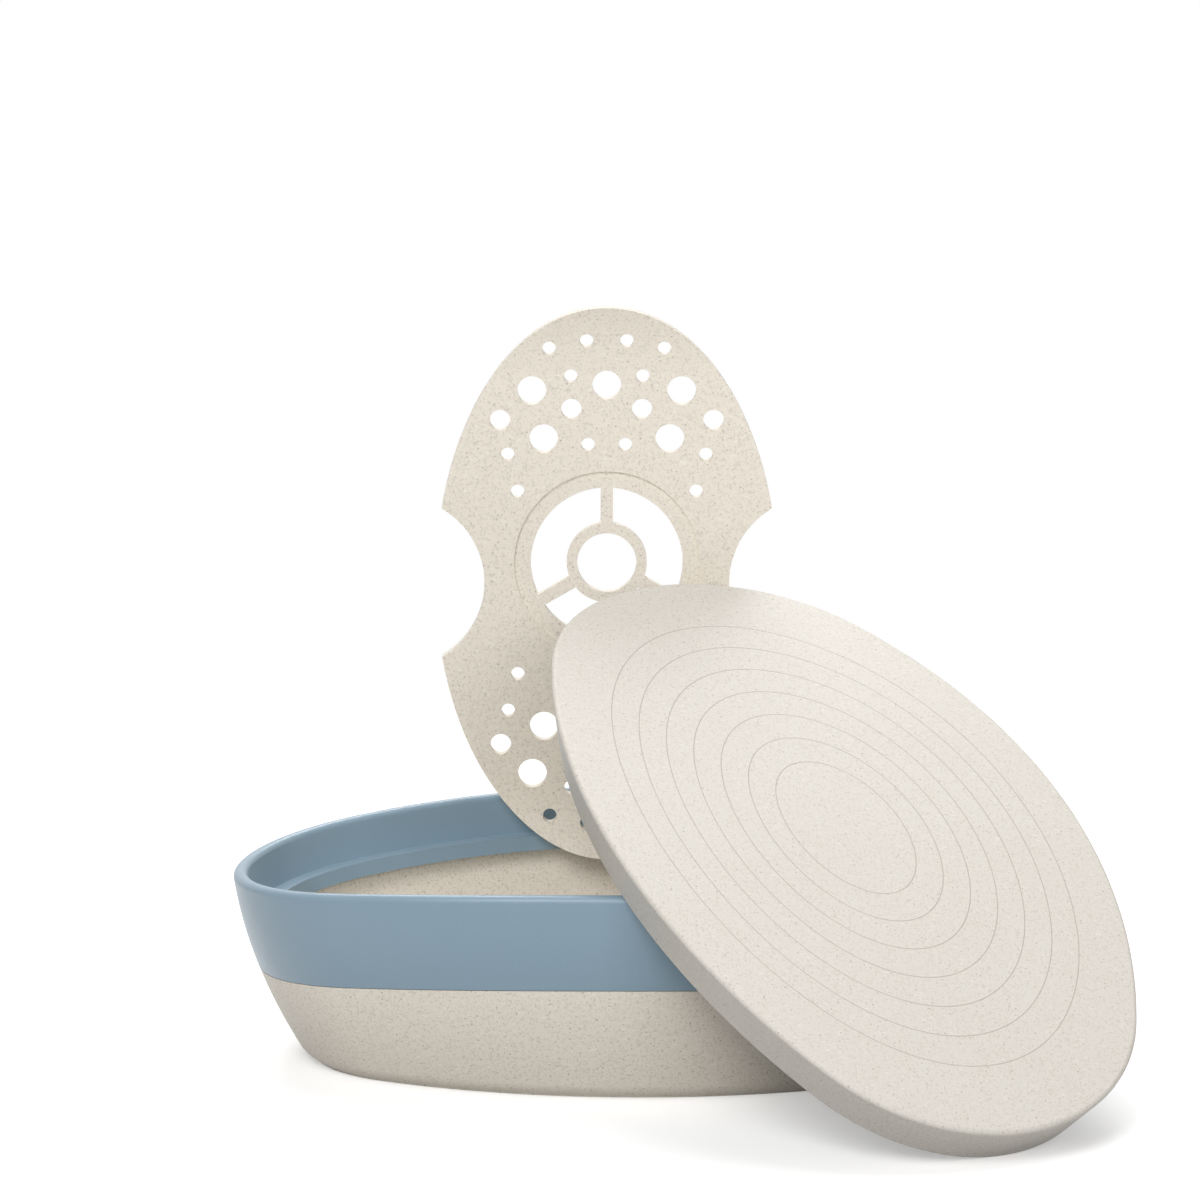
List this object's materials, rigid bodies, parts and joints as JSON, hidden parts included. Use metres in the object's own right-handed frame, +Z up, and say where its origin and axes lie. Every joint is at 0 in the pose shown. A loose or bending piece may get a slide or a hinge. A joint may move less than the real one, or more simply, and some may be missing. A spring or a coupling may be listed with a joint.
{
  "type": "travel soap box",
  "caption": "Flared oval soap box: a bowl with a soft sealing band at its rim, a perforated drain insert stood upright in it and an arched oval lid leaning on it.",
  "frame": {"origin": "centre of the bowl's flat foot, on the surface that it stands on", "axes": "+X along the bowl's length, +Y across it towards the upright insert, +Z up"},
  "size_m": [0.1251, 0.1068, 0.1028],
  "materials": {
    "bowl": "satin, speckled beige",
    "sealing_band": "matte, muted blue",
    "drain_insert": "satin, speckled cream",
    "lid": "satin, speckled cream"
  },
  "bodies": {
    "base": {"bowl": "bowl", "sealing_band": "sealing_band"},
    "insert": {"drain_insert": "drain_insert"},
    "lid": {"lid": "lid"}
  },
  "joints": [
    {"name": "insert_lift", "type": "slide", "parent": "base", "child": "insert", "axis": [0, 0, 1], "range_m": [0, 0.06]},
    {"name": "lid_lift", "type": "slide", "parent": "base", "child": "lid", "axis": [0.2689, -0.4581, 0.8472], "range_m": [0, 0.08]}
  ]
}
